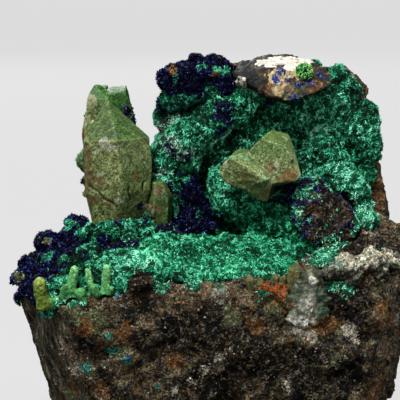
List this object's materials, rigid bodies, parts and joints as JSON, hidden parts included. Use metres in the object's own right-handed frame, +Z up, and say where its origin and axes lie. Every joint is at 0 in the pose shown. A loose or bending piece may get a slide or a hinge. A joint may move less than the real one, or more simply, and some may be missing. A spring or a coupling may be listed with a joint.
{
  "type": "mineral specimen",
  "caption": "Cabinet mineral specimen: pointed quartz crystals, green malachite crust and dark blue azurite on a block of dark host rock with a high wall at its back.",
  "frame": {"origin": "middle of the specimen's width and depth, on the sawn underside it stands on", "axes": "+Z up, away from the surface it stands on; -Y towards the showy face with the crystals; +X to the right of someone who looks at that face"},
  "size_m": [0.1197, 0.0739, 0.113],
  "materials": {
    "host_rock": "dark brown, coarse broken rock with rust stains and pale specks",
    "coated_quartz": "olive green, frosted crystal faces under a thin mineral coat",
    "milky_quartz": "milky white, iron stained, broken surface",
    "grey_quartz": "clear to grey-white, glassy broken surface, partly see-through",
    "malachite": "sea green, fibrous, sparkling crust",
    "pale_malachite": "yellow-green, matt, fine-grained",
    "azurite": "very dark blue, glossy crystal crust"
  },
  "bodies": {
    "root": {"matrix": "host_rock", "host_shard": "host_rock", "quartz_pair": "coated_quartz", "quartz_stub": "coated_quartz", "quartz_twin": "coated_quartz", "quartz_cap": "milky_quartz", "quartz_chip": "milky_quartz", "quartz_lens": "grey_quartz", "quartz_seam": "grey_quartz", "malachite_crust": "malachite", "malachite_nodule": "malachite", "malachite_fingers": "pale_malachite", "azurite_flank": "azurite", "azurite_crown": "azurite", "azurite_streak": "azurite"}
  },
  "joints": []
}
